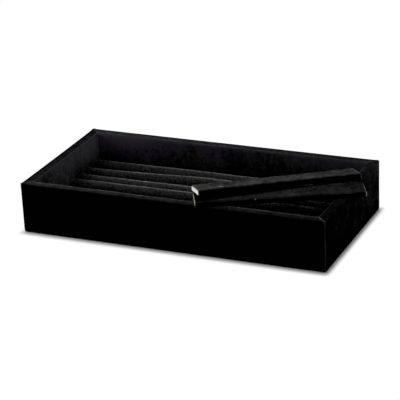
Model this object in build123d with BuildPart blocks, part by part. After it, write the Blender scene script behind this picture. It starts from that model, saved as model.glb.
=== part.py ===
from build123d import *
import os
from math import atan2, cos, degrees, radians, sin

# Outside size of the tray, velvet included, in millimetres
tray_length = 305.0
tray_width = 155.0
tray_height = 50.0

# Boards of the box
wall_board = 8.0
board_rounding = 0.7
base_thickness = 3.0
base_rebate = 4.0  # how far the base board reaches under each wall board
base_play = 0.2

# Velvet with its pile, turned in under the box, and the felt that covers the turned-in hem
velvet = 0.7
hem_width = 14.0
mitre_spare = 1.0  # how far the cut between two sides runs past the hem
felt_thickness = 0.6
felt_inset = 4.0

# Pins through the long boards into the ends of the short ones
brad_diameter = 1.2
brad_length = 20.0
brad_margin = 11.0  # from the board's top and bottom edges

# Insert that carries the ring rolls
card_thickness = 2.0
insert_play = 0.4

# Ring rolls: foam rods in velvet, glued side by side along the tray
roll_count = 8
roll_width = 12.6
roll_height = 18.0
roll_tuck = 1.1  # how far each side draws in towards the glued base
roll_side_gap = 1.5  # between an outer roll and the wall
roll_end_gap = 0.6
roll_runs = 4  # straight runs that a roll's gentle bow is made of
foam_slack = 0.1

# Sideways lie of a roll at its left end, middle and right end, as shares of the mean gap
roll_sway = {
    1: (0.0, 0.15, 0.05),
    2: (-1.25, 0.76, -0.10),
    3: (-1.17, -0.72, -0.85),
    4: (-0.39, -0.15, -0.07),
    5: (-0.85, -0.93, -0.08),
    6: (-0.35, -0.42, -0.20),
    7: (-0.24, -0.33, 0.05),
    8: (0.0, -0.06, -0.05),
}

# Two loose bars that lie across the rims
bar_length = 156.5
bar_width = 25.0
bar_thickness = 4.7
bar_velvet = 0.6
bar_rounding = 1.0
rest_gap = 0.3  # pile height left between a loose bar and what it lies on

# Lower bar, flat on the front and right rims, placed from the tray's front right corner
lower_from_right = 58.35
lower_from_front = 41.5
lower_turn = 26.7

# Upper bar, leaning from the lower bar's back edge to the inner edge of the right rim
upper_turn = 11.1  # against the lower bar, in the plane of its underside
upper_contact = 113.0  # its resting place on the right rim, measured from the front
upper_contact_across = 4.3  # the same place, measured from the bar's middle line

os.makedirs("parts", exist_ok=True)

# Levels, from the surface that the tray stands on
hem_level = felt_thickness
board_level = hem_level + velvet
base_top = board_level + base_thickness
board_top = tray_height - velvet
roll_floor = base_top + card_thickness + velvet

# Plan sizes that follow from the driving ones
board_length = tray_length - 2 * velvet
board_width = tray_width - 2 * velvet
rebate_length = board_length - 2 * wall_board + 2 * base_rebate
rebate_width = board_width - 2 * wall_board + 2 * base_rebate
wall = wall_board + 2 * velvet
clear_length = tray_length - 2 * wall
clear_width = tray_width - 2 * wall
insert_length = clear_length - 2 * insert_play
insert_width = clear_width - 2 * insert_play
velvet_rounding = board_rounding + velvet


def save(part, name):
    part.label = name
    export_step(part, f"parts/{name}.step")


# Frame of four boards, before it is parted at its corner joints
with BuildPart() as frame_blank:
    with BuildSketch(Plane.XY.offset(board_level)):
        Rectangle(board_length, board_width)
    extrude(amount=board_top - board_level)
    fillet(frame_blank.edges().filter_by(Axis.Z), board_rounding)
    with BuildSketch(Plane.XY.offset(board_level)):
        Rectangle(board_length - 2 * wall_board, board_width - 2 * wall_board)
    extrude(amount=board_top - board_level, mode=Mode.SUBTRACT)
    fillet(frame_blank.faces().sort_by(Axis.Z)[-1].edges(), board_rounding)
    with BuildSketch(Plane.XY.offset(board_level)):
        Rectangle(rebate_length, rebate_width)
    extrude(amount=base_thickness, mode=Mode.SUBTRACT)

# Brads, two at each end of each long board, driven along Y
brad_spots = [
    (side_x * (board_length - wall_board) / 2, end_y, level)
    for side_x in (-1, 1)
    for end_y in (-1, 1)
    for level in (board_level + brad_margin, board_top - brad_margin)
]
with BuildPart() as brads:
    for x, end_y, level in brad_spots:
        with BuildSketch(Plane.XZ.offset(-end_y * board_width / 2)):
            with Locations((x, level)):
                Circle(brad_diameter / 2)
        extrude(amount=end_y * brad_length)
save(brads.part, "corner_brads")


# One wall board: its stretch of the frame, with the brads' holes
def wall_piece(name, centre, size):
    with BuildPart() as board:
        with BuildSketch(Plane.XY.offset(board_level)):
            with Locations(centre):
                Rectangle(*size)
        extrude(amount=board_top - board_level)
        add(frame_blank.part, mode=Mode.INTERSECT)
        add(brads.part, mode=Mode.SUBTRACT)
    save(board.part, name)


long_offset = (board_width - wall_board) / 2
short_offset = (board_length - wall_board) / 2
short_length = board_width - 2 * wall_board
wall_piece("front_board", (0, -long_offset), (board_length, wall_board))
wall_piece("back_board", (0, long_offset), (board_length, wall_board))
wall_piece("left_board", (-short_offset, 0), (wall_board, short_length))
wall_piece("right_board", (short_offset, 0), (wall_board, short_length))

# Base board, let into the rebates from below
with BuildPart() as base:
    with BuildSketch(Plane.XY.offset(board_level)):
        Rectangle(rebate_length - 2 * base_play, rebate_width - 2 * base_play)
    extrude(amount=base_thickness)
save(base.part, "base_board")

# Velvet over the whole frame: outside, over the rim, down the inside and in under the bottom
with BuildPart() as velvet_blank:
    with BuildSketch(Plane.XY.offset(hem_level)):
        Rectangle(tray_length, tray_width)
    extrude(amount=tray_height - hem_level)
    fillet(velvet_blank.edges().filter_by(Axis.Z), velvet_rounding)
    with BuildSketch(Plane.XY.offset(base_top)):
        Rectangle(clear_length, clear_width)
    extrude(amount=tray_height - base_top, mode=Mode.SUBTRACT)
    fillet(velvet_blank.faces().sort_by(Axis.Z)[-1].edges(), velvet_rounding)
    with BuildSketch(Plane.XY.offset(hem_level)):
        Rectangle(tray_length - 2 * hem_width, tray_width - 2 * hem_width)
    extrude(amount=velvet, mode=Mode.SUBTRACT)
    with BuildSketch(Plane.XY.offset(board_level)):
        Rectangle(rebate_length, rebate_width)
    extrude(amount=base_thickness, mode=Mode.SUBTRACT)
    add(frame_blank.part, mode=Mode.SUBTRACT)


# One side's velvet, with its ends mitred where two sides meet
def velvet_piece(name, turn, length, across):
    mitre_reach = hem_width + mitre_spare
    with BuildPart() as wrap:
        with BuildSketch(Plane.XY.offset(hem_level).rotated((0, 0, turn))):
            with Locations((0, -across / 2)):
                Polygon(
                    (-length / 2, 0),
                    (length / 2, 0),
                    (length / 2 - mitre_reach, mitre_reach),
                    (mitre_reach - length / 2, mitre_reach),
                    align=None,
                )
        extrude(amount=tray_height - hem_level)
        add(velvet_blank.part, mode=Mode.INTERSECT)
    save(wrap.part, name)


velvet_piece("front_velvet", 0, tray_length, tray_width)
velvet_piece("right_velvet", 90, tray_width, tray_length)
velvet_piece("back_velvet", 180, tray_length, tray_width)
velvet_piece("left_velvet", 270, tray_width, tray_length)

# Felt under the bottom, over the hem
with BuildPart() as felt:
    with BuildSketch(Plane.XY):
        Rectangle(tray_length - 2 * felt_inset, tray_width - 2 * felt_inset)
    extrude(amount=felt_thickness)
save(felt.part, "underside_felt")

# Insert: a card with velvet over its top and edges
with BuildPart() as card:
    with BuildSketch(Plane.XY.offset(base_top)):
        Rectangle(insert_length - 2 * velvet, insert_width - 2 * velvet)
    extrude(amount=card_thickness)
save(card.part, "insert_card")

with BuildPart() as insert_cover:
    with BuildSketch(Plane.XY.offset(base_top)):
        Rectangle(insert_length, insert_width)
    extrude(amount=card_thickness + velvet)
    add(card.part, mode=Mode.SUBTRACT)
save(insert_cover.part, "insert_velvet")

# Rows of the ring rolls, from the back wall to the front one
roll_length = clear_length - 2 * roll_end_gap
first_row = clear_width / 2 - roll_side_gap - roll_width / 2
roll_pitch = 2 * first_row / (roll_count - 1)
mean_gap = roll_pitch - roll_width


# Points of a roll's middle line: its left end, middle and right end
def roll_points(row):
    even_row = first_row - (row - 1) * roll_pitch
    spots = zip((-clear_length / 2, 0, clear_length / 2), roll_sway[row])
    return [(x, even_row + share * mean_gap, roll_floor) for x, share in spots]


# One roll, or its core where inset is above 0: flat base, sides drawn in towards it, round crown
def roll_solid(row, inset):
    crown = roll_width / 2 - inset
    spring = roll_height - inset - crown
    foot = crown - roll_tuck
    with BuildPart() as solid:
        with BuildLine() as middle:
            bow = ThreePointArc(*roll_points(row), mode=Mode.PRIVATE)
            Polyline(*[bow @ (run / roll_runs) for run in range(roll_runs + 1)])
        start = middle.line % 0
        with BuildSketch(Plane(middle.line @ 0, x_dir=(-start.Y, start.X, 0), z_dir=start)):
            with BuildLine():
                CenterArc((0, spring), crown, 0, 180)
                TangentArc((-crown, spring), (-foot, 0), tangent=(0, -1))
                Line((-foot, 0), (foot, 0))
                TangentArc((crown, spring), (foot, 0), tangent=(0, -1))
            make_face()
        sweep(transition=Transition.RIGHT)
        with BuildSketch(Plane.XY.offset(roll_floor)):
            Rectangle(roll_length - 2 * inset, clear_width)
        extrude(amount=roll_height, mode=Mode.INTERSECT)
    return solid.part


for row in range(1, roll_count + 1):
    with BuildPart() as foam:
        add(roll_solid(row, velvet + foam_slack))
    save(foam.part, f"roll_{row}_foam")
    with BuildPart() as cover:
        add(roll_solid(row, 0))
        add(roll_solid(row, velvet), mode=Mode.SUBTRACT)
    save(cover.part, f"roll_{row}_velvet")


# A loose bar lying on a plane: a core with velvet round its four long faces and bare ends
def loose_bar(name, place):
    with BuildPart() as core:
        with BuildSketch(place.offset(bar_velvet)):
            Rectangle(bar_length, bar_width - 2 * bar_velvet)
        extrude(amount=bar_thickness - 2 * bar_velvet)
        long_edges = core.edges().sort_by(SortBy.LENGTH)[-4:]
        fillet(long_edges, bar_rounding - bar_velvet)
    save(core.part, f"{name}_core")
    with BuildPart() as wrap:
        with BuildSketch(place):
            Rectangle(bar_length, bar_width)
        extrude(amount=bar_thickness)
        long_edges = wrap.edges().sort_by(SortBy.LENGTH)[-4:]
        fillet(long_edges, bar_rounding)
        add(core.part, mode=Mode.SUBTRACT)
    save(wrap.part, f"{name}_velvet")


# The lower bar lies flat on the rims
lower_centre = Vector(
    tray_length / 2 - lower_from_right,
    lower_from_front - tray_width / 2,
    tray_height + rest_gap,
)
lower_along = Vector(cos(radians(lower_turn)), sin(radians(lower_turn)), 0)
lower_place = Plane(origin=lower_centre, x_dir=lower_along, z_dir=(0, 0, 1))

# The upper bar's underside passes over the lower bar's back top edge and the rim's inner edge
back_edge = Vector(0, bar_width / 2, bar_thickness)
rim_point = Vector(tray_length / 2 - wall, upper_contact - tray_width / 2, tray_height)
reach = lower_place.to_local_coords(rim_point) - back_edge
lean = atan2(-reach.Z, reach.Y)
turn = radians(upper_turn)
upper_middle = Vector(
    reach.X - bar_length / 2 * cos(turn) + upper_contact_across * sin(turn),
    reach.Y / cos(lean) - bar_length / 2 * sin(turn) - upper_contact_across * cos(turn),
    rest_gap,
)
leaning = lower_place.location * Location(back_edge, (-degrees(lean), 0, 0))
upper_place = Plane(leaning * Location(upper_middle, (0, 0, upper_turn)))

loose_bar("lower_bar", lower_place)
loose_bar("upper_bar", upper_place)
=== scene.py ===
import math

import bmesh
import bpy
import numpy as np
from mathutils import Matrix, Vector, noise


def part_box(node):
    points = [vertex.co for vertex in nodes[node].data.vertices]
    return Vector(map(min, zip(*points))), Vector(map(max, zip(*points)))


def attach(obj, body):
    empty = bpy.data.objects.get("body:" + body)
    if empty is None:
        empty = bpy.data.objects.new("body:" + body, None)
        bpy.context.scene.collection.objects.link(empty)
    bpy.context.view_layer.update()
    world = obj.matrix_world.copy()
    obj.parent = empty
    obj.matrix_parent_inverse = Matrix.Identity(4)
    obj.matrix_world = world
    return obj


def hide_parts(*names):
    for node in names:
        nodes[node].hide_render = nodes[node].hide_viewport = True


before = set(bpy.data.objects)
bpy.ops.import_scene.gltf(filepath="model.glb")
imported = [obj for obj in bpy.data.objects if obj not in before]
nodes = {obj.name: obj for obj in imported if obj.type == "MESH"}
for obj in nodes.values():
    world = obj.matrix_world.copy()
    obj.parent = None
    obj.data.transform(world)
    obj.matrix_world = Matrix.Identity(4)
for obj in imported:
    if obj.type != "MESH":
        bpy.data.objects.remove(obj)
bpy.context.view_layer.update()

mm = 0.001


# shader building

class Flow:
    # one output of a node, so that a sum on values is written as a sum
    def __init__(self, finish, socket):
        self.finish, self.socket = finish, socket

    def sum(self, how, first, second):
        return self.finish.add("Math", {"operation": how}, {0: first, 1: second})

    def __add__(self, other):
        return self.sum("ADD", self, other)

    def __radd__(self, other):
        return self.sum("ADD", other, self)

    def __sub__(self, other):
        return self.sum("SUBTRACT", self, other)

    def __rsub__(self, other):
        return self.sum("SUBTRACT", other, self)

    def __mul__(self, other):
        return self.sum("MULTIPLY", self, other)

    def __rmul__(self, other):
        return self.sum("MULTIPLY", other, self)


class Finish:
    # a node tree being made: a node's settings come first, then its sockets' values or links
    def __init__(self, tree):
        self.tree = tree
        tree.nodes.clear()

    def add(self, kind, settings={}, sockets={}, out=0):
        node = self.tree.nodes.new("ShaderNode" + kind)
        for key, value in settings.items():
            setattr(node, key, value)
        for key, value in sockets.items():
            if isinstance(value, Flow):
                self.tree.links.new(value.socket, node.inputs[key])
            else:
                node.inputs[key].default_value = value
        return Flow(self, node.outputs[out]) if node.outputs else None

    def place(self, stretch=(1, 1, 1)):
        spot = self.add("TexCoord", out="Object")
        return self.add("Mapping", {}, {"Vector": spot, "Scale": stretch})

    def noise(self, spot, scale, detail=2.0, rough=0.5):
        return self.add("TexNoise", {}, {"Vector": spot, "Scale": scale, "Detail": detail, "Roughness": rough})

    def ease(self, value, low, high):  # 0 below low, 1 above high, smooth between
        return self.add("MapRange", {"interpolation_type": "SMOOTHSTEP"},
                        {"Value": value, "From Min": low, "From Max": high})

    def blend(self, share, first, second, way="MIX"):  # colours, or flows of colour
        def full(c):
            return c if isinstance(c, Flow) else (*c, 1)
        return self.add("Mix", {"data_type": "RGBA", "blend_type": way},
                        {0: share, 6: full(first), 7: full(second)}, out=2)

    def apart(self, spot, box):  # distance outside a box about the origin, by its half sizes
        over = self.add("VectorMath", {"operation": "ABSOLUTE"}, {0: spot})
        over = self.add("VectorMath", {"operation": "SUBTRACT"}, {0: over, 1: box})
        over = self.add("VectorMath", {"operation": "MAXIMUM"}, {0: over, 1: (0, 0, 0)})
        return self.add("VectorMath", {"operation": "LENGTH"}, {0: over}, out="Value")

    def bump(self, height, deep, strength=1.0, under=None):
        sockets = {"Height": height, "Distance": deep * mm, "Strength": strength}
        if under:
            sockets["Normal"] = under
        return self.add("Bump", {}, sockets)

    def close(self, surface):
        self.add("OutputMaterial", {}, {"Surface": surface})


def newMaterial(name):
    material = bpy.data.materials.new(name)
    material.use_nodes = True
    return material, Finish(material.node_tree)


# camera, lights, floor

shot = {
    "at": (0.6444, -1.4360, 0.6709),
    "azimuth": 24.232, "elevation": 22.418, "roll": -2.628,
    "lens": 160.17, "sensor": 36, "near": 0.02, "far": 50,
}
azimuth, elevation, roll = (math.radians(shot[angle]) for angle in ("azimuth", "elevation", "roll"))
back = Vector((math.sin(azimuth) * math.cos(elevation), -math.cos(azimuth) * math.cos(elevation),
               math.sin(elevation)))
right = back.cross(Vector((0, 0, -1))).normalized()
up = back.cross(right)
camera = bpy.data.objects.new("camera", bpy.data.cameras.new("camera"))
bpy.context.scene.collection.objects.link(camera)
turned = Matrix((right * math.cos(roll) + up * math.sin(roll), up * math.cos(roll) - right * math.sin(roll),
                 back)).transposed()
camera.matrix_world = Matrix.Translation(shot["at"]) @ turned.to_4x4()
camera.data.lens = shot["lens"]
camera.data.sensor_width = shot["sensor"]
camera.data.clip_start, camera.data.clip_end = shot["near"], shot["far"]
bpy.context.scene.camera = camera
bpy.context.scene.view_settings.view_transform = "Standard"

lampAim = Vector((0, 0, 0.03))  # about the middle of the tray
lamps = {
    "topSoftbox": {"at": (-0.70, 0.85, 1.30), "wide": 1.1, "power": 9.0},
    "leftSoftbox": {"at": (-1.20, -1.00, 0.38), "wide": 0.8, "power": 13.0},
}
for name, lamp in lamps.items():
    data = bpy.data.lights.new(name, "AREA")
    data.energy, data.size = lamp["power"], lamp["wide"]
    light = bpy.data.objects.new(name, data)
    light.location = lamp["at"]
    light.rotation_euler = (Vector(lamp["at"]) - lampAim).to_track_quat("Z", "Y").to_euler()
    bpy.context.scene.collection.objects.link(light)

studio = {
    "skyLevel": 0.42, "floorSize": 8.0, "floorColour": 0.86,
    # the floor as the camera sees it goes white within whiteFull mm of the tray, and sooner past the tray's ends
    "seenWhite": 1.01, "whiteShare": 0.98, "whiteFrom": 0.0, "whiteFull": 8.7, "endsFaster": 1.35,
    "trayHalf": (0.1525, 0.0775),
}


def seenDirectly(finish):  # 1 for what the camera, a gloss or a clear material sees
    rays = [finish.add("LightPath", out=way) for way in ("Is Camera Ray", "Is Glossy Ray", "Is Transmission Ray")]
    return rays[0] + rays[1] + rays[2]


world = bpy.data.worlds.new("studio")
bpy.context.scene.world = world
world.use_nodes = True
sky = Finish(world.node_tree)
dome = sky.add("Background", {}, {"Color": (1, 1, 1, 1), "Strength": studio["skyLevel"]})
white = sky.add("Background", {}, {"Color": (1, 1, 1, 1), "Strength": 1.0})
sky.add("OutputWorld", {}, {"Surface": sky.add("MixShader", {}, {0: seenDirectly(sky), 1: dome, 2: white})})

half = studio["floorSize"] / 2
floorMesh = bpy.data.meshes.new("floor")
floorMesh.from_pydata([(-half, -half, 0), (half, -half, 0), (half, half, 0), (-half, half, 0)], [], [(0, 1, 2, 3)])
floor = bpy.data.objects.new("floor", floorMesh)
bpy.context.scene.collection.objects.link(floor)
material, finish = newMaterial("floorPaper")
spot = finish.place((studio["endsFaster"], 1, 1))
toTray = finish.apart(spot, (studio["trayHalf"][0] * studio["endsFaster"], studio["trayHalf"][1], 0))
pastShadow = finish.ease(toTray, studio["whiteFrom"] * mm, studio["whiteFull"] * mm)
paper = finish.add("BsdfDiffuse", {}, {"Color": (*[studio["floorColour"]] * 3, 1)})
plain = finish.add("Emission", {}, {"Color": (1, 1, 1, 1), "Strength": studio["seenWhite"]})
share = seenDirectly(finish) * pastShadow * studio["whiteShare"]
finish.close(finish.add("MixShader", {}, {0: share, 1: paper, 2: plain}))
floorMesh.materials.append(material)
print("camera, lights and floor set")


# finishes

pileLook = {  # what all the velvets share; a pair is where a mask starts and where it is full
    "pileScale": 2100, "clump": (0.36, 0.56), "violetScale": 45, "violet": (0.38, 0.56),
    "calmBlotch": 0.9, "calmTuft": 0.65, "calmClump": 0.8,  # the share of each that a calm place loses
    "wornLeast": 0.2, "wornDeep": (0.3, 0.9), "wornDeepShare": 0.6,
    "lintSize": (0.012, 0.03), "lintColour": (0.35, 0.34, 0.33), "fleckEdge": 0.45,
    "napBump": 0.6, "pileBump": 0.8, "awayRough": 0.4,
}


def velvetFinish(name, look):
    # pile that lies away from the eye swallows light, pile that lies towards it shines at a low angle; the
    # napAndLight mark mixes a shaded copy and a lit copy, and so paints light and shade too
    material, f = newMaterial(name)
    napAndLight, wearAndHighlight, calm, grey = (f.add("Attribute", {"attribute_name": mark}, out="Fac")
                            for mark in ("napAndLight", "wearAndHighlight", "calm", "grey"))
    spot = f.place()
    blotch = f.noise(f.place(look["stretch"]), look["blotchScale"], 4, 0.6)
    tuft = f.noise(spot, look["tuftScale"], 3, 0.62)
    pile = f.noise(spot, look["pileScale"], 2, 0.6)
    clump = f.ease(f.noise(spot, look["clumpScale"], 2, 0.7), *look["clump"])
    lieAndLight = napAndLight + (blotch - 0.5) * look["blotchShare"] * (1 - calm * look["calmBlotch"])
    lieAndLight = lieAndLight + (tuft - 0.5) * look["tuftShare"] * (1 - calm * look["calmTuft"])
    # worn places and painted highlights lift the pile towards the lit copy
    lieAndLight = lieAndLight - (1 - clump) * (1 - calm * look["calmClump"]) * look["clumpShare"] + wearAndHighlight * look["wearHighlightLift"]
    caught = 0.0
    for middle, half, share in look["flecks"]:  # threads of lint caught in the pile, placed and sized in mm
        aside = f.add("VectorMath", {"operation": "SUBTRACT"}, {0: spot, 1: [c * mm for c in middle]})
        outside = f.apart(aside, [c * mm for c in half])
        caught = (1 - f.ease(outside, 0.0, look["fleckEdge"] * mm)) * share + caught
    litShare = f.ease(lieAndLight + caught, 0.0, 1.0)
    tone = f.blend(wearAndHighlight * (look["wornLeast"] + pile), look["pile"], look["wornAndLit"])
    violet = f.ease(f.noise(spot, look["violetScale"], 2, 0.5), *look["violet"]) * (1 - grey)
    tone = f.blend(violet, tone, look["tinted"], "MULTIPLY")
    speck = f.add("TexVoronoi", {}, {"Vector": spot, "Scale": look["lintScale"]}, out="Distance")
    lint = (1 - f.ease(speck, *look["lintSize"])) * look["lint"]
    tone = f.blend(lint + caught, tone, look["lintColour"])
    deep = f.blend(f.ease(wearAndHighlight, *look["wornDeep"]) * look["wornDeepShare"], look["deep"], look["wornAndLit"])
    lean = f.bump(blotch, look["napDeep"], look["napBump"])
    fur = f.bump(pile * 0.5 + tuft, look["pileDeep"], look["pileBump"], lean)
    # a shaded copy and a lit copy of the same velvet; litShare picks between them, painting light and shade as well
    # as the pile's lie
    away = f.add("BsdfPrincipled", {}, {
        "Base Color": deep, "Roughness": 1.0, "Specular IOR Level": 0.0, "Sheen Weight": look["sheenAway"],
        "Sheen Roughness": look["awayRough"], "Sheen Tint": (*look["tint"], 1), "Normal": fur})
    lit = f.add("BsdfPrincipled", {}, {
        "Base Color": tone, "Roughness": 0.95, "Specular IOR Level": 0.0, "Sheen Weight": look["sheen"],
        "Sheen Roughness": look["sheenRough"], "Sheen Tint": (*look["tint"], 1), "Normal": fur})
    f.close(f.add("MixShader", {}, {0: litShare, 1: away, 2: lit}))
    return material


wallLook = pileLook | {
    "stretch": (1, 1, 0.4), "blotchScale": 60, "blotchShare": 1.1, "tuftScale": 330, "tuftShare": 1.3,
    "clumpScale": 150, "clumpShare": 0.15, "wearHighlightLift": 0.65, "napDeep": 1.0, "pileDeep": 0.16,
    "deep": (0.0004, 0.0004, 0.00045), "pile": (0.014, 0.013, 0.015), "wornAndLit": (0.040, 0.039, 0.041),
    "tinted": (1.38, 1.02, 1.62),  # what the pile's colour is multiplied by where it turns violet
    "lintScale": 34, "lint": 0.3, "flecks": (),
    "sheenAway": 0.0035, "sheen": 1.0, "sheenRough": 0.34, "tint": (0.96, 0.935, 1.0),
}
rollLook = wallLook | {
    "stretch": (0.55, 1, 1), "blotchScale": 110, "blotchShare": 0.6, "tuftScale": 420, "tuftShare": 1.3,
    "clumpScale": 520, "clumpShare": 0.5, "wearHighlightLift": 0.0,
    "pile": (0.023, 0.023, 0.024), "tinted": (1.13, 1.09, 1.08), "sheenRough": 0.36, "tint": (0.99, 0.98, 1.0),
}
barLook = wallLook | {
    "stretch": (1, 1, 1), "blotchScale": 90, "blotchShare": 0.5, "tuftScale": 380, "tuftShare": 0.8,
    "napDeep": 0.6, "pile": (0.011, 0.011, 0.011), "tinted": (1.18, 1.18, 1.27),
    "flecks": (((79.0, -57.9, 54.8), (0.4, 0.4, 0.4), 0.5), ((44.0, -53.9, 61.7), (2.4, 0.4, 0.8), 0.75)),
    "sheen": 0.26, "tint": (1.0, 0.99, 1.0),
}
insertLook = wallLook | {"stretch": (1, 1, 1), "sheen": 0.2}

velvets = {
    "wall": velvetFinish("wallVelvet", wallLook),
    "roll": velvetFinish("rollVelvet", rollLook),
    "bar": velvetFinish("barVelvet", barLook),
    "insert": velvetFinish("insertVelvet", insertLook),
}


feltLook = {
    "fibreScale": 900, "matted": (0.35, 0.65), "fibreDeep": 0.25, "cloudScale": 60, "cloud": (0.5, 0.8),
    "cloudShare": 0.5, "dark": (0.008, 0.008, 0.009), "pale": (0.03, 0.03, 0.032), "dusty": (0.045, 0.044, 0.043),
}


def feltFinish(look):
    material, f = newMaterial("underFelt")
    fibre = f.noise(f.place((1, 3, 1)), look["fibreScale"], 4, 0.7)
    cross = f.noise(f.place((3, 1, 1)), look["fibreScale"], 4, 0.7)
    cloud = f.ease(f.noise(f.place(), look["cloudScale"], 3, 0.5), *look["cloud"])
    tone = f.blend(f.ease(fibre * 0.5 + cross * 0.5, *look["matted"]), look["dark"], look["pale"])
    tone = f.blend(cloud * look["cloudShare"], tone, look["dusty"])
    f.close(f.add("BsdfPrincipled", {}, {
        "Base Color": tone, "Roughness": 0.95, "Specular IOR Level": 0.15, "Sheen Weight": 0.3,
        "Sheen Roughness": 0.5, "Normal": f.bump(fibre + cross, look["fibreDeep"], 0.9)}))
    return material


foamLook = {
    "cellScale": 1600, "cell": (0.15, 0.5), "cellShare": 0.7, "cellDeep": 0.3,
    "cloudScale": 90, "cloud": (0.4, 0.8), "cloudShare": 0.4,
    "skin": (0.20, 0.20, 0.21), "hole": (0.05, 0.05, 0.055), "aged": (0.26, 0.25, 0.23),
}


def foamFinish(look):
    material, f = newMaterial("rollFoam")
    spot = f.place()
    cells = f.add("TexVoronoi", {}, {"Vector": spot, "Scale": look["cellScale"]}, out="Distance")
    hole = 1 - f.ease(cells, *look["cell"])
    cloud = f.ease(f.noise(spot, look["cloudScale"], 3, 0.5), *look["cloud"])
    tone = f.blend(hole * look["cellShare"], look["skin"], look["hole"])
    tone = f.blend(cloud * look["cloudShare"], tone, look["aged"])
    f.close(f.add("BsdfPrincipled", {}, {
        "Base Color": tone, "Roughness": 0.9, "Specular IOR Level": 0.2,
        "Normal": f.bump(cells, look["cellDeep"], 0.8)}))
    return material


def woodFinish(name, look):
    material, f = newMaterial(name)
    grainSpot = f.place(look["stretch"])
    warp = f.noise(grainSpot, look["ringScale"] * look["warp"], 2, 0.5)
    rings = f.noise(grainSpot, look["ringScale"], 5, 0.6)
    fibre = f.noise(f.place(look["fibreStretch"]), look["fibreScale"], 3, 0.7)
    line = f.ease(rings * 0.7 + warp * 0.3, *look["line"])
    tone = f.blend(line, look["light"], look["dark"])
    tone = f.blend(f.ease(fibre, *look["fibreSeen"]) * look["fibre"], tone, look["fleck"])
    f.close(f.add("BsdfPrincipled", {}, {
        "Base Color": tone, "Roughness": 0.62 + fibre * 0.3, "Specular IOR Level": 0.3,
        "Normal": f.bump(fibre + line * 0.4, look["grainDeep"], 0.7)}))
    return material


cardLook = {
    "pulpScale": 1500, "pulp": (0.35, 0.7), "pulpDeep": 0.1, "fleckScale": 420, "fleck": (0.08, 0.2),
    "fleckShare": 0.4, "cloudScale": 110, "cloud": (0.45, 0.75), "cloudShare": 0.35,
    "grey": (0.29, 0.28, 0.26), "pale": (0.38, 0.37, 0.34), "stain": (0.24, 0.23, 0.21), "speck": (0.12, 0.11, 0.10),
}


def cardFinish(look):
    material, f = newMaterial("greyCard")
    spot = f.place()
    pulp = f.noise(spot, look["pulpScale"], 4, 0.7)
    cloud = f.ease(f.noise(spot, look["cloudScale"], 3, 0.5), *look["cloud"])
    fleck = 1 - f.ease(f.add("TexVoronoi", {}, {"Vector": spot, "Scale": look["fleckScale"]}, out="Distance"),
                       *look["fleck"])
    tone = f.blend(f.ease(pulp, *look["pulp"]), look["grey"], look["pale"])
    tone = f.blend(cloud * look["cloudShare"], tone, look["stain"])
    tone = f.blend(fleck * look["fleckShare"], tone, look["speck"])
    f.close(f.add("BsdfPrincipled", {}, {
        "Base Color": tone, "Roughness": 0.8 + pulp * 0.15, "Specular IOR Level": 0.2,
        "Normal": f.bump(pulp, look["pulpDeep"], 0.7)}))
    return material


steelLook = {
    "scratchScale": 9000, "scratch": (0.3, 0.7), "scratchDeep": 0.02, "rustScale": 260, "rust": (0.58, 0.75),
    "rustShare": 0.35, "dull": (0.50, 0.50, 0.51), "bright": (0.62, 0.62, 0.63), "rusty": (0.26, 0.16, 0.09),
}


def steelFinish(look):
    material, f = newMaterial("drawnSteel")
    scratch = f.noise(f.place((1, 0.05, 1)), look["scratchScale"], 3, 0.6)
    rust = f.ease(f.noise(f.place(), look["rustScale"], 4, 0.6), *look["rust"])
    tone = f.blend(f.ease(scratch, *look["scratch"]), look["dull"], look["bright"])
    tone = f.blend(rust * look["rustShare"], tone, look["rusty"])
    f.close(f.add("BsdfPrincipled", {}, {
        "Base Color": tone, "Metallic": 1 - rust * 0.4, "Roughness": 0.28 + scratch * 0.25,
        "Normal": f.bump(scratch, look["scratchDeep"], 0.5)}))
    return material


boardLook = {
    "stretch": (0.06, 1, 1), "ringScale": 260, "warp": 0.4, "line": (0.38, 0.64), "grainDeep": 0.12,
    "fibreStretch": (0.08, 1, 1), "fibreScale": 2200, "fibreSeen": (0.5, 0.75), "fibre": 0.5,
    "light": (0.56, 0.40, 0.24), "dark": (0.42, 0.27, 0.14), "fleck": (0.33, 0.20, 0.10),
}
sideBoardLook = boardLook | {"stretch": (1, 0.06, 1), "fibreStretch": (1, 0.08, 1)}
baseLook = boardLook | {
    "stretch": (1, 1, 1), "ringScale": 500, "fibreStretch": (1, 1, 1), "fibre": 0.8,
    "light": (0.36, 0.24, 0.14), "dark": (0.29, 0.19, 0.11), "fleck": (0.20, 0.12, 0.07),
}
coreLook = boardLook | {
    "stretch": (0.5, 0.5, 1), "ringScale": 900, "fibreStretch": (1, 1, 1), "fibre": 0.25,
    "light": (0.93, 0.91, 0.85), "dark": (0.86, 0.82, 0.72), "fleck": (0.70, 0.62, 0.48),
}

dressed = {
    "front_board": woodFinish("longBoardWood", boardLook),
    "left_board": woodFinish("shortBoardWood", sideBoardLook),
    "base_board": woodFinish("basePanelBoard", baseLook),
    "lower_bar_core": woodFinish("barCoreWood", coreLook),
    "insert_card": cardFinish(cardLook),
    "corner_brads": steelFinish(steelLook),
}
dressed["back_board"], dressed["right_board"] = dressed["front_board"], dressed["left_board"]
dressed["upper_bar_core"] = dressed["lower_bar_core"]
for node, material in dressed.items():
    nodes[node].data.materials.clear()
    nodes[node].data.materials.append(material)
print("finishes made, hidden boards, card and pins dressed")


# cloth and pad helpers

def sway(point, size, seed=0.0):  # smooth noise about 0, size in mm between its bumps
    return noise.noise(Vector(point) / size + Vector((seed, seed * 0.7, -seed)))


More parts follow.
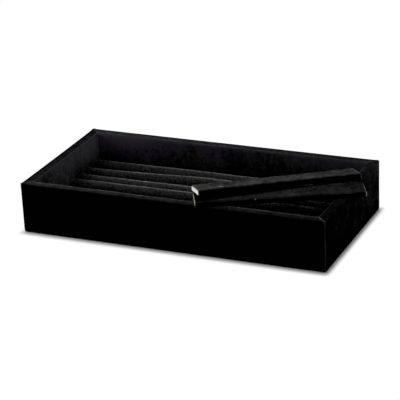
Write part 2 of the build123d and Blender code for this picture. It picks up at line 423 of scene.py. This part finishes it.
def gridMesh(name, rows, marks={}, closed=False):
    # rows of points in mm become one sheet of quads; marks are values kept at each point
    wide = len(rows[0])
    faces = []
    for i in range(len(rows) - 1):
        for j in range(wide if closed else wide - 1):
            k = (j + 1) % wide
            faces.append((i * wide + k, i * wide + j, (i + 1) * wide + j, (i + 1) * wide + k))
    mesh = bpy.data.meshes.new(name)
    mesh.from_pydata([Vector(p) * mm for row in rows for p in row], [], faces)
    mesh.polygons.foreach_set("use_smooth", [True] * len(faces))
    for mark, values in marks.items():
        layer = mesh.attributes.new(mark, "FLOAT", "POINT")
        layer.data.foreach_set("value", [v for row in values for v in row])
    return mesh


def piece(name, mesh, body, slot, material, *stands):
    made = bpy.data.objects.new(name, mesh)
    bpy.context.scene.collection.objects.link(made)
    mesh.materials.append(material)
    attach(made, body)
    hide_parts(*stands)
    return made


def thicken(made, thick):
    layer = made.modifiers.new("clothThickness", "SOLIDIFY")
    layer.thickness = thick * mm
    layer.offset = -1


def stops(*runs):  # (from, to, steps) runs joined end to end, without repeated ends
    line = []
    for start, end, steps in runs:
        line += [start + (end - start) * k / steps for k in range(steps)]
    return line + [runs[-1][1]]


# velvet over the four walls

walls = {
    "wall": 9.4, "thick": 0.6, "hem": 14.0, "insideFoot": 4.3, "bottom": 0.6,
    "rimRound": 0.9, "footRound": 0.8, "cornerRound": 1.0, "insideRound": 0.6,
    "cornerSteps": 6, "nearEnd": (0, 0.35, 0.7, 1.1, 1.7, 2.6, 4.0, 6.0, 9.0, 13.0), "step": 3.5,
    "hemSteps": 6, "footSteps": 4, "wallSteps": 17, "rimSteps": 7, "rimFlatSteps": 4,
    # waves outside, on the rim and inside; the rim falls to the inside, and rises to the back
    "waveLong": 26, "waveShort": 9, "outsideWave": 0.08, "rimWave": 0.06, "insideWave": 0.30,
    "rimTilt": 0.22, "backHigher": 0.7, "seed": 1.3,
    # the cloth stands up in a ridge at each mitre, with the seam sunk along it
    "ridge": 0.38, "ridgeWide": 2.0, "ridgeLeast": 0.8, "ridgeDown": 16, "ridgeOver": 12,
    "seam": 0.26, "seamWide": 0.45,
    # wear on the folds of the mitres, and along both edges of the rim, partly painted highlights
    "foldWide": 0.75, "foldTo": 9, "foldWearAndHighlight": 0.6, "foldLessBack": 0.6,
    "edgeWearAndHighlight": 1.0, "edgeAt": 0.62, "edgeWide": 0.38, "edgeDown": 3, "outerShare": 0.35, "outerTo": 4,
    "innerWearAndHighlight": 0.0, "wearLeast": 0.8, "wearWave": 0.3, "wearLong": 18,
    # how far the pile lies towards the eye, together with painted light and shade, and how that changes to the right,
    # to the back or upwards
    "outsideNapLight": 0.0, "outsideRise": 0.0, "outsideRisePower": 0.7, "outsideCloud": 0.0, "outsideCloudLong": 16,
    "rimNapLight": 0.0, "rimRise": 0.0, "rimPower": 0.7, "outerDark": 0.0, "outerDarkWide": 2.4,
    "footNapShade": 0.0, "darkUpTo": 12, "insideCloud": 0.3, "insideCloudLong": 40,
    # the back left corner has painted light at the top, and painted shade low down
    "cornerPaintedLight": 0.0, "cornerPaintedLightLong": 0.3, "cornerDark": 0.0, "cornerDarkLong": 0.13,
    "outsideCalm": 0.9, "greyInside": 0.6, "greyRun": 0.6,  # evenness outside, and the violet taken out inside
}
sides = {  # what each wall has of its own; insideNapLight is at even steps along the top, to the right or the back, and paints light and shade along the wall
    "front": {"turn": 0, "outsideNapLight": -0.35, "rimNapLight": 0.25, "rimRise": -0.13, "innerWearAndHighlight": 0.45,
              "insideNapLight": (0.5, 0.5)},
    "right": {"turn": 90, "outsideNapLight": -0.05, "outsideRise": 0.26, "outsideCloud": 0.16, "rimNapLight": 0.06,
              "rimRise": 0.14, "edgeWearAndHighlight": 0.45, "innerWearAndHighlight": 0.25, "insideNapLight": (0.3, 0.3)},
    "back": {"turn": 180, "outsideRise": 0.1, "rimNapLight": 0.31, "rimRise": -0.1, "outerDark": 0.8, "innerWearAndHighlight": 0.25,
             "insideNapLight": (1.1, 1.0, 0.55, 0.88, 0.95), "cornerPaintedLight": 1.0, "cornerDark": 0.9, "greyInside": 0.9},
    "left": {"turn": 270, "outsideRise": 0.1, "rimNapLight": 0.15, "outerDark": 0.5, "innerWearAndHighlight": 0.1, "footNapShade": -0.05,
             "insideNapLight": (0.52, 0.72, 1.1, 1.25, 1.3), "cornerPaintedLight": 0.9, "greyInside": 0.75},
}
trayHigh = Vector(map(max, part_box("back_velvet")[1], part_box("right_velvet")[1])) / mm
halfLong, halfWide, rimTop = trayHigh.x, trayHigh.y, trayHigh.z


def wallProfile(v):
    # distance in from the outer face, height, and the way the cloth faces (in, up), hem to inside foot
    line = []
    for d in stops((v["hem"], v["footRound"], v["hemSteps"]))[:-1]:
        line.append((d, v["bottom"], 0, -1))
    def turnRound(inward, level, radius, start, steps):
        for k in range(steps + 1):
            t = math.radians(start + 90 * k / steps)
            line.append((inward - radius * math.sin(t), level - radius * math.cos(t), -math.sin(t), -math.cos(t)))
    turnRound(v["footRound"], v["bottom"] + v["footRound"], v["footRound"], 0, v["footSteps"])
    shoulder = rimTop - v["rimRound"]
    for z in stops((v["bottom"] + v["footRound"], shoulder, v["wallSteps"]))[1:-1]:
        line.append((0, z, -1, 0))
    turnRound(v["rimRound"], shoulder, v["rimRound"], 90, v["rimSteps"])
    for d in stops((v["rimRound"], v["wall"] - v["rimRound"], v["rimFlatSteps"]))[1:-1]:
        line.append((d, rimTop, 0, 1))
    turnRound(v["wall"] - v["rimRound"], shoulder, v["rimRound"], 180, v["rimSteps"])
    for z in stops((shoulder, v["insideFoot"], v["wallSteps"]))[1:]:
        line.append((v["wall"], z, 1, 0))
    return line


def wallSpots(v, long, wide, d):
    # one line along the cloth at depth d, and the way its points face, from the right mitre to the left one
    radius = max(v["cornerRound"] - d, v["insideRound"])
    endX, endY = long - d - radius, wide - d - radius
    spots = []
    for k in range(v["cornerSteps"]):  # half of the corner's round
        t = math.radians(-45 - 45 * k / v["cornerSteps"])
        spots.append((endX + radius * math.cos(t), -endY + radius * math.sin(t), math.cos(t), math.sin(t)))
    spots += [(endX - n, -endY - radius, 0, -1) for n in v["nearEnd"]]
    middle = endX - v["nearEnd"][-1]
    steps = int(long / v["step"])
    spots += [(middle * (1 - k / steps), -endY - radius, 0, -1) for k in range(1, steps + 1)]
    return spots + [(-x, y, -outX, outY) for x, y, outX, outY in spots[-2::-1]]


def wallPush(v, here, d, z, upward, mitre):  # how far the cloth stands off its plain shape
    level = v["outsideWave"] if d < 1 else v["insideWave"] if d > v["wall"] - 1 else v["rimWave"]
    push = level * (sway(here, v["waveLong"], v["seed"]) + 0.5 * sway(here, v["waveShort"], v["seed"]))
    push += v["rimTilt"] * max(0, upward) * (1 - 2 * d / v["wall"])
    if z > v["bottom"] + 1:
        top = min(1, max(v["ridgeLeast"], (z - rimTop + v["ridgeDown"]) / v["ridgeOver"]))
        push += v["ridge"] * top * math.exp(-(mitre / v["ridgeWide"]) ** 2)
        push -= v["seam"] * top * math.exp(-(mitre / v["seamWide"]) ** 2)
    return push


# wear and painted highlights along the rim's edges and on the mitre folds
def wallWearAndHighlight(v, here, d, z, inward, upward, mitre, back):
    edge = math.exp(-((abs(inward) - v["edgeAt"]) / v["edgeWide"]) ** 2) if z > rimTop - v["edgeDown"] else 0
    if upward > 0.5:
        edge = max(edge, v["innerWearAndHighlight"] * math.exp(-(v["wall"] - d - 1) ** 2))
    edge *= (v["outerShare"] if d < v["outerTo"] else 1.0) * v["edgeWearAndHighlight"]
    edge *= v["wearLeast"] + v["wearWave"] * sway(here, v["wearLong"], 3)
    fold = math.exp(-(mitre / v["foldWide"]) ** 2) if d < v["foldTo"] else 0
    return min(1, edge + v["foldWearAndHighlight"] * (1 - v["foldLessBack"] * back) * fold)


def wallSheet(v, side, long, wide):
    # one side's velvet, made as if it were the front, then turned about the middle
    spin = Matrix.Rotation(math.radians(v["turn"]), 3, "Z")
    alongWall = np.linspace(0, 1, len(v["insideNapLight"]))
    rows, marks = [], {"wearAndHighlight": [], "napAndLight": [], "calm": [], "grey": []}
    for d, z, inward, upward in wallProfile(v):
        over = max(0, upward) ** v["rimPower"]  # 1 on the rim, 0 on the wall
        depth = max(0, (z - v["darkUpTo"]) / (rimTop - v["darkUpTo"]))
        onInside = d > 1 and inward > 0
        row, wearAndHighlight, napAndLight, grey = [], [], [], []
        for x, y, outX, outY in wallSpots(v, long, wide, d):
            here = spin @ Vector((x, y, z))
            back = 0.5 + here.y / 2 / halfWide
            run = back if side in ("left", "right") else 0.5 + here.x / 2 / halfLong
            mitre = abs((long - abs(x)) - (y + wide)) / math.sqrt(2)
            push = wallPush(v, here, d, z, upward, mitre)
            facing = Vector((-outX * inward, -outY * inward, upward))
            row.append(spin @ (Vector((x, y, z + v["backHigher"] * back * back * z / rimTop)) + facing * push))
            wornAndLit = wallWearAndHighlight(v, here, d, z, inward, upward, mitre, back)
            if onInside:
                toCorner = 1 - back if side == "left" else run
                # inside: painted shade towards the foot, and painted light that changes along the wall
                lieAndLight = v["footNapShade"] + (np.interp(run, alongWall, v["insideNapLight"]) - v["footNapShade"]) * depth
                # painted shade low down in the back left corner
                lieAndLight -= v["cornerDark"] * max(0, 1 - toCorner / v["cornerDarkLong"]) * (1 - depth)
                lieAndLight += v["insideCloud"] * sway(here, v["insideCloudLong"], v["seed"] + 5) * (1 - over)
                # painted light at the top of the back left corner, carried in the wear mark
                wornAndLit += v["cornerPaintedLight"] * max(0, 1 - toCorner / v["cornerPaintedLightLong"]) * depth ** 2 * (1 - over)
                tinged = min(1, run / v["greyRun"]) if side == "back" else 1
                grey.append(v["greyInside"] * tinged * (1 - over) + over)
            else:
                # outside: painted light rising along the wall and upwards
                lieAndLight = v["outsideNapLight"] + v["outsideRise"] * run * (max(z, 1) / rimTop) ** v["outsideRisePower"]
                lieAndLight += v["outsideCloud"] * sway(here, v["outsideCloudLong"], v["seed"] + 2)
                grey.append(1.0)
            # the rim: painted light rising along the wall, and painted shade on the outer edge of the back and left
            # rims
            onRim = v["rimNapLight"] + v["rimRise"] * run - v["outerDark"] * max(0, 1 - d / v["outerDarkWide"])
            napAndLight.append(lieAndLight + (onRim - lieAndLight) * over)
            wearAndHighlight.append(wornAndLit)
        rows.append(row)
        calm = [max(over, v["outsideCalm"] if inward < 0 else 0)] * len(row)
        for mark, values in zip(("wearAndHighlight", "napAndLight", "calm", "grey"), (wearAndHighlight, napAndLight, calm, grey)):
            marks[mark].append(values)
    return rows, marks


for side, own in sides.items():
    long, wide = (halfLong, halfWide) if side in ("front", "back") else (halfWide, halfLong)
    rows, marks = wallSheet(walls | own, side, long, wide)
    sheet = piece(side + "WallVelvet", gridMesh(side + "WallVelvet", rows, marks), "tray", "wall_velvet",
                  velvets["wall"], side + "_velvet")
    thicken(sheet, walls["thick"])
print("wall velvets folded over the rim")


# felt under the bottom

felt = {
    "thick": 0.55, "across": 96, "down": 50, "edgeWave": 0.25, "edgeWaveLong": 9, "edgeSharp": 24,
    "dimple": 0.05, "dimpleLong": 6,
}
low, high = (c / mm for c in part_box("underside_felt"))
rows = []
for y in np.linspace(low.y, high.y, felt["down"]):
    row = []
    for x in np.linspace(low.x, high.x, felt["across"]):
        nearX, nearY = (abs(x) / high.x) ** felt["edgeSharp"], (abs(y) / high.y) ** felt["edgeSharp"]
        inX = felt["edgeWave"] * nearX * (0.5 + sway((x, y, 0), felt["edgeWaveLong"], 2))
        inY = felt["edgeWave"] * nearY * (0.5 + sway((x, y, 0), felt["edgeWaveLong"], 5))
        rise = felt["dimple"] * (0.5 + 0.5 * sway((x, y, 0), felt["dimpleLong"], 1))
        row.append((x - math.copysign(inX, x), y - math.copysign(inY, y), felt["thick"] + rise))
    rows.append(row)
underFelt = piece("undersideFelt", gridMesh("undersideFelt", rows), "tray", "felt", feltFinish(feltLook),
                  "underside_felt")
thicken(underFelt, felt["thick"])


# velvet over the insert card

insert = {
    "thick": 0.55, "across": 110, "down": 70, "edgeRound": 0.7, "wave": 0.12, "waveLong": 11, "waveSunk": 0.4,
    "sunk": 0.06, "edgeTurn": ((0.4, 0.08), (0.8, 0.4), (1, 1)),  # out and down, as shares of edgeRound
}
low, high = (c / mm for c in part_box("insert_velvet"))


def insertMesh(v):
    soft = v["edgeRound"]
    made = bmesh.new()
    grid = []
    for y in np.linspace(low.y + soft, high.y - soft, v["down"]):
        spots = [(x, y, high.z - v["sunk"] + v["wave"] * (sway((x, y, 0), v["waveLong"], 4) - v["waveSunk"]))
                 for x in np.linspace(low.x + soft, high.x - soft, v["across"])]
        grid.append([made.verts.new(spot) for spot in spots])
    for near, far in zip(grid, grid[1:]):
        for j in range(v["across"] - 1):
            made.faces.new((near[j], near[j + 1], far[j + 1], far[j]))
    # the border turns down over the card's edge
    turns = [(out * soft, down * soft) for out, down in v["edgeTurn"]] + [(soft, high.z - low.z)]
    for out, down in turns:
        border = [edge for edge in made.edges if edge.is_boundary]
        for new in bmesh.ops.extrude_edge_only(made, edges=border)["geom"]:
            if not isinstance(new, bmesh.types.BMVert):
                continue
            if abs(new.co.x) > high.x - soft - 0.01:
                new.co.x = math.copysign(high.x - soft + out, new.co.x)
            if abs(new.co.y) > high.y - soft - 0.01:
                new.co.y = math.copysign(high.y - soft + out, new.co.y)
            new.co.z = high.z - down
    for corner in made.verts:
        corner.co *= mm
    for face in made.faces:
        face.smooth = True
    bmesh.ops.recalc_face_normals(made, faces=made.faces)
    mesh = bpy.data.meshes.new("insertVelvet")
    made.to_mesh(mesh)
    made.free()
    return mesh


cover = piece("insertVelvet", insertMesh(insert), "tray", "insert_velvet", velvets["insert"], "insert_velvet")
thicken(cover, insert["thick"])
print("felt and insert laid")


# ring rolls

rolls = {
    "width": 12.6, "height": 18.0, "tuck": 1.1, "base": 0.15, "lowest": 0.1, "step": 2.2,
    "startSmaller": 0.5, "foamInset": 1.3, "footSteps": 3, "sideSteps": 5, "crownSteps": 8,
    "endGap": 0.2, "endRound": 2.0, "endAngles": (80, 55, 30, 12), "endDisc": (0.08, 0.35, 0.65),
    "widthWave": 0.35, "widthWaveLong": 21, "heightWave": 0.4, "heightWaveLong": 33,
    "bendFrom": 6, "bendOver": 12, "flatter": {5: 0.9},  # heights change above bendFrom only
    # the swelling: cloth pressure, spare cloth as a share, and the most that a point may move in the end
    "pressure": 4.0, "frames": 20, "quality": 5, "simScale": 25.0, "spare": 0.012, "gluedUpTo": 0.6,
    "mostSwell": 0.3, "fill": 0.9,
    "crownWorn": 0.35, "wornFrom": 0.8, "wornOver": 0.2,
    # how far the pile lies towards the eye, from the foot to the crown: painted shade at the foot, painted light on
    # the crown
    "footNapShade": -0.24, "crownNapLight": 0.98, "napFrom": 0.25, "napOver": 0.75,
    # painted shade at the left ends, and painted shadow where the bars lie over rolls 1, 2 and all the others
    "barShadow": 0.6, "barsFrom": (55, 55, 30), "barsOver": 50, "endShade": 0.6, "endAt": 143.0, "endOver": 24,
}
rollLines = {  # (along, across) points of each roll's middle line
    1: ((-143, 60.4), (-111, 59.9), (-85, 60.0), (-59, 60.8), (-33, 61.3), (20, 61.2), (80, 60.7), (143, 60.5)),
    2: ((-143, 37.7), (-119, 38.3), (-93, 39.9), (-68, 42.0), (-43, 44.2), (-20, 45.8), (25, 46.4), (80, 45.2),
        (143, 42.7)),
    3: ((-143, 20.6), (-110, 20.2), (-84, 20.3), (-58, 20.7), (-33, 21.7), (10, 22.5), (60, 22.8), (104, 22.5),
        (143, 21.7)),
    4: ((-143, 6.8), (-104, 6.6), (-78, 7.1), (-52, 7.6), (-18, 7.9), (40, 7.8), (80, 7.5), (122, 8.5), (143, 8.6)),
    5: ((-143, -12.6), (-60, -13.2), (0, -13.0), (40, -12.2), (73, -10.9), (113, -9.4), (143, -9.0)),
    6: ((-143, -27.5), (-60, -27.8), (0, -27.8), (70, -27.5), (143, -26.8)),
    7: ((-143, -44.2), (-60, -44.7), (0, -44.6), (70, -44.0), (143, -42.9)),
    8: ((-143, -60.3), (-60, -60.6), (0, -60.6), (70, -60.6), (143, -60.5)),
}


def lineAt(points, x):  # a smooth line through the points
    for k in range(len(points) - 1):
        if x <= points[k + 1][0] or k == len(points) - 2:
            break
    (x0, y0), (x1, y1) = points[k], points[k + 1]
    before = points[max(k - 1, 0)]
    after = points[min(k + 2, len(points) - 1)]
    slope0 = (y1 - before[1]) / (x1 - before[0])
    slope1 = (after[1] - y0) / (after[0] - x0)
    t = min(1, max(0, (x - x0) / (x1 - x0)))
    span = x1 - x0
    return ((2 * t ** 3 - 3 * t ** 2 + 1) * y0 + (t ** 3 - 2 * t ** 2 + t) * span * slope0
            + (3 * t ** 2 - 2 * t ** 3) * y1 + (t ** 3 - t ** 2) * span * slope1)


def rollProfile(v, inset):
    # (across, height) round the roll, from the middle of its base
    crown = v["width"] / 2 - inset
    spring = v["height"] - inset - crown
    foot = crown - v["tuck"]
    base = v["base"]
    right = [(foot * k / v["footSteps"], base) for k in range(v["footSteps"] + 1)]
    for k in range(1, v["sideSteps"] + 1):  # the side leans out from the base to the crown
        t = k / v["sideSteps"]
        right.append((foot + (crown - foot) * math.sin(t * math.pi / 2), base + (spring - base) * t))
    for k in range(1, v["crownSteps"]):
        t = math.radians(90 * k / v["crownSteps"])
        right.append((crown * math.cos(t), spring + crown * math.sin(t)))
    return right + [(0, spring + crown)] + [(-y, z) for y, z in right[:0:-1]]


def rollMesh(name, v, row, inset):
    low, high = (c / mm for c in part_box(f"roll_{row}_velvet"))
    start, end = low.x + v["endGap"] + inset, high.x - v["endGap"] - inset
    ring = rollProfile(v, inset)
    half, middle, soft = v["width"] / 2, v["height"] * 0.5, v["endRound"]
    rings = [(start, size) for size in v["endDisc"]]  # place along the roll, and size of the ring there
    rings += [(start + soft * (1 - math.sin(t)), 1 - soft * (1 - math.cos(t)) / half)
              for t in map(math.radians, v["endAngles"])]
    steps = int((end - start - 2 * soft) / v["step"])
    body = [(start + soft + (end - start - 2 * soft) * k / steps, 1.0) for k in range(steps + 1)]
    tail = [(start + end - x, size) for x, size in rings[::-1]]
    barsFrom = v["barsFrom"][min(row, len(v["barsFrom"])) - 1]
    rows, wearAndHighlight, napAndLight = [], [], []
    for x, size in rings + body + tail:
        y = lineAt(rollLines[row], x)
        wider = 1 + v["widthWave"] / half * sway((x, 0, 0), v["widthWaveLong"], row * 3.1)
        taller = v["heightWave"] * sway((x, 0, 0), v["heightWaveLong"], row * 1.7 + 9) - v["flatter"].get(row, 0)
        # painted shadow where the bars lie over the rolls, and painted shade at the left ends
        shade = v["barShadow"] * min(1, max(0, (x - barsFrom) / v["barsOver"]))
        shade += v["endShade"] * max(0, 1 - (x + v["endAt"]) / v["endOver"])
        line, wornAndLit, lieAndLight = [], [], []
        for across, z in ring:
            level = z + taller * max(0, z - v["bendFrom"]) / v["bendOver"]
            level = middle + (level - middle) * size if size < 1 else level
            line.append((x, y + across * wider * size, low.z + max(level, v["lowest"])))
            wornAndLit.append(v["crownWorn"] * max(0, (z - v["height"] * v["wornFrom"]) / (v["height"] * v["wornOver"])))
            # painted shade at the foot, painted light on the crown
            up = max(0, z / v["height"] - v["napFrom"]) / v["napOver"]
            lieAndLight.append(v["footNapShade"] + (v["crownNapLight"] - v["footNapShade"]) * up - shade)
        rows.append(line)
        wearAndHighlight.append(wornAndLit)
        napAndLight.append(lieAndLight)
    mesh = gridMesh(name, rows, {"wearAndHighlight": wearAndHighlight, "napAndLight": napAndLight}, closed=True)
    capped = bmesh.new()
    capped.from_mesh(mesh)
    wide = len(ring)
    corners = list(capped.verts)
    for loop in (corners[:wide], corners[-wide:]):
        centre = capped.verts.new(sum((w.co for w in loop), Vector()) / wide)
        for k in range(wide):
            capped.faces.new((loop[k], loop[(k + 1) % wide], centre))
    bmesh.ops.recalc_face_normals(capped, faces=capped.faces)
    for face in capped.faces:
        face.smooth = True
    capped.to_mesh(mesh)
    capped.free()
    return mesh


def swell(objects, v):
    # the covers are blown up a little against their glued bases, larger than life so that Cloth holds steady
    scene = bpy.context.scene
    rest = {}
    for made in objects:
        points = np.zeros(len(made.data.vertices) * 3)
        made.data.vertices.foreach_get("co", points)
        rest[made.name] = points.reshape(-1, 3)
        made.data.vertices.foreach_set("co", points * v["simScale"])
        glued = made.vertex_groups.new(name="glued")
        floorLevel = rest[made.name][:, 2].min() + v["gluedUpTo"] * mm
        glued.add([int(k) for k in np.nonzero(rest[made.name][:, 2] < floorLevel)[0]], 1.0, "REPLACE")
        cloth = made.modifiers.new("stuffing", "CLOTH")
        cloth.settings.quality = v["quality"]
        cloth.settings.use_pressure = True
        cloth.settings.uniform_pressure_force = v["pressure"]
        cloth.settings.effector_weights.gravity = 0
        cloth.settings.vertex_group_mass = "glued"
        cloth.settings.shrink_min = -v["spare"]
        cloth.point_cache.frame_start, cloth.point_cache.frame_end = 1, v["frames"]
    for at in range(1, v["frames"] + 1):
        scene.frame_set(at)
    graph = bpy.context.evaluated_depsgraph_get()
    for made in objects:
        blown = made.evaluated_get(graph).to_mesh()
        points = np.zeros(len(blown.vertices) * 3)
        blown.vertices.foreach_get("co", points)
        moved = points.reshape(-1, 3) / v["simScale"] - rest[made.name]
        far = np.linalg.norm(moved, axis=1, keepdims=True)
        most = v["mostSwell"] * mm
        moved *= np.tanh(far / most) * most / np.maximum(far, 1e-9)
        made.evaluated_get(graph).to_mesh_clear()
        made.modifiers.remove(made.modifiers["stuffing"])
        made.vertex_groups.clear()
        made.data.vertices.foreach_set("co", (rest[made.name] + moved).ravel())
        made.data.update()
        print(f"  {made.name}: moved {far.mean() / mm:.2f} mm on average, {far.max() / mm:.2f} at most")
    scene.frame_set(1)


foam = foamFinish(foamLook)
covers = []
for row in range(1, 9):
    name = f"ringRoll{row}"
    covers.append(piece(name, rollMesh(name, rolls, row, rolls["startSmaller"]), "tray", "insert_velvet",
                        velvets["roll"], f"roll_{row}_velvet"))
    core = piece(name + "Foam", rollMesh(name + "Foam", rolls, row, rolls["foamInset"]), "tray", "foam", foam,
                 f"roll_{row}_foam")
swell(covers, rolls)
for made in covers:
    smooth = made.modifiers.new("smooth", "SUBSURF")
    smooth.levels = smooth.render_levels = 1
print("ring rolls padded")


# loose bars

bars = {
    "long": 156.5, "wide": 25.0, "thick": 4.7, "cloth": 0.5, "round": 1.0, "restGap": 0.3,
    "fromRight": 58.35, "fromFront": 41.5, "turn": 26.7,
    "upperTurn": 11.1, "upperContact": 113.0, "upperAcross": 4.3,
    "seamAt": 3.0, "seamOpen": 0.35, "fray": 0.22, "frayLong": 1.3,
    "roundSteps": 4, "topSteps": 11, "underSteps": (5, 7),
    "crown": 0.10, "wave": 0.07, "waveLong": 17, "waveShort": 6, "flatUnder": 0.02,
    "along": ((-1, -0.97, 6), (-0.97, 0.97, 64), (0.97, 1, 6)),  # runs of points, as shares of half the length
    "short": {"lower": (-0.09, 0.53), "upper": (0.35, 0.5)},  # raw core showing at the left and right ends, in mm
    "edgeAt": 0.7, "edgeWide": 0.25, "edgeWorn": 0.6, "edgeUnder": 0.2, "wearLong": 5, "tipWorn": 0.5, "tipLong": 1.2,
    # how far the pile lies towards the eye, painted light: on top, less of it to the back, and painted shade on the
    # sides
    "napAndLight": {"lower": 0.38, "upper": 0.46}, "frontNapLight": 0.18, "sideNapShade": -0.1, "cloud": 0.2, "cloudLong": 24,
    "paintedShadow": 0.75, "paintedShadowWide": 8.5,  # painted shadow of the upper bar on the lower bar, just before the upper one
    "rearFrom": 6, "rearPaintedShade": 0.3,  # painted shade on the lower bar's far edge, under the upper bar, cuts its wear there
}


def barPlaces(v):
    turn = math.radians(v["turn"])
    middle = Vector((halfLong - v["fromRight"], v["fromFront"] - halfWide, rimTop + v["restGap"]))
    lower = Matrix.Translation(middle) @ Matrix.Rotation(turn, 4, "Z")
    edge = Vector((0, v["wide"] / 2, v["thick"]))
    rim = Vector((halfLong - walls["wall"], v["upperContact"] - halfWide, rimTop))
    reach = lower.inverted() @ rim - edge
    lean = math.atan2(-reach.z, reach.y)
    turn = math.radians(v["upperTurn"])
    spot = Vector((reach.x - v["long"] / 2 * math.cos(turn) + v["upperAcross"] * math.sin(turn),
                   reach.y / math.cos(lean) - v["long"] / 2 * math.sin(turn) - v["upperAcross"] * math.cos(turn),
                   v["restGap"]))
    upper = (lower @ Matrix.Translation(edge) @ Matrix.Rotation(-lean, 4, "X")
             @ Matrix.Translation(spot) @ Matrix.Rotation(turn, 4, "Z"))
    return {"lower": lower, "upper": upper}


def sleeveProfile(v):
    # (across, height, facing across, facing up) from the seam under the bar, round it and back
    side, r, top = v["wide"] / 2, v["round"], v["thick"]
    line = [(x, 0, 0, -1) for x in stops((v["seamAt"] + v["seamOpen"] / 2, side - r, v["underSteps"][0]))[:-1]]
    def turnRound(cx, cz, start):
        for k in range(v["roundSteps"] + 1):
            t = math.radians(start + 90 * k / v["roundSteps"])
            line.append((cx + r * math.cos(t), cz + r * math.sin(t), math.cos(t), math.sin(t)))
    turnRound(side - r, r, -90)
    line.append((side, top / 2, 1, 0))
    turnRound(side - r, top - r, 0)
    line.extend((x, top, 0, 1) for x in stops((side - r, r - side, v["topSteps"]))[1:-1])
    turnRound(r - side, top - r, 90)
    line.append((-side, top / 2, -1, 0))
    turnRound(r - side, r, 180)
    line.extend((x, 0, 0, -1)
                for x in stops((r - side, v["seamAt"] - v["seamOpen"] / 2, v["underSteps"][1]))[1:])
    return line


def sleeveMesh(name, v, which, seed):
    shortLeft, shortRight = v["short"][which]
    place, away = places[which], places["upper"].inverted()
    rows, wearAndHighlight, napAndLight = [], [], []
    for x in stops(*v["along"]):
        row, wornAndLit, lieAndLight = [], [], []
        tip = math.exp(-((1 - abs(x)) * v["long"] / 2 / v["tipLong"]) ** 2)
        for across, z, outY, outZ in sleeveProfile(v):
            end = v["long"] / 2 - (shortLeft if x < 0 else shortRight)
            end += v["fray"] * sway((across, z * 3, 20 * (x > 0)), v["frayLong"], seed)
            here = Vector((x * end, across, z))
            push = v["wave"] * (sway(here, v["waveLong"], seed) + 0.6 * sway(here, v["waveShort"], seed))
            if outZ > 0.9:
                push += v["crown"] * (1 - (across / (v["wide"] / 2)) ** 2)
            elif z < 1:
                push = min(push, v["flatUnder"]) - v["flatUnder"]
            row.append(place @ (here + Vector((0, outY, outZ)) * push))
            edge = v["edgeUnder"]
            if z > v["thick"] / 2:
                edge = math.exp(-((abs(outZ) - v["edgeAt"]) / v["edgeWide"]) ** 2)
            wearAndShade = min(1, v["edgeWorn"] * edge * (0.6 + sway(here, v["wearLong"], seed)) + v["tipWorn"] * tip)
            # painted light on top, less of it to the back
            topNapLight = v["napAndLight"][which] - v["frontNapLight"] * across / v["wide"]
            if which == "lower":
                # painted shadow of the upper bar on the lower bar
                ahead = -(away @ (place @ here)).y - v["wide"] / 2
                topNapLight -= v["paintedShadow"] * (1 - min(1, max(0, ahead) / v["paintedShadowWide"]) ** 2)
                # painted shade on the far edge, under the upper bar
                wearAndShade *= v["rearPaintedShade"] if across > v["rearFrom"] else 1.0
            wornAndLit.append(wearAndShade)
            # painted shade on the sides
            lieAndLight.append(v["sideNapShade"] + (topNapLight - v["sideNapShade"]) * max(0, outZ)
                       + v["cloud"] * sway(here, v["cloudLong"], seed))
        rows.append(row)
        wearAndHighlight.append(wornAndLit)
        napAndLight.append(lieAndLight)
    return gridMesh(name, rows, {"wearAndHighlight": wearAndHighlight, "napAndLight": napAndLight})


places = barPlaces(bars)
for name, seed in (("lower", 2.2), ("upper", 7.4)):
    mesh = sleeveMesh(name + "BarVelvet", bars, name, seed)
    sleeve = piece(name + "BarVelvet", mesh, name + "_bar", "bar_velvet", velvets["bar"], name + "_bar_velvet")
    thicken(sleeve, bars["cloth"])
print("loose bars sleeved")
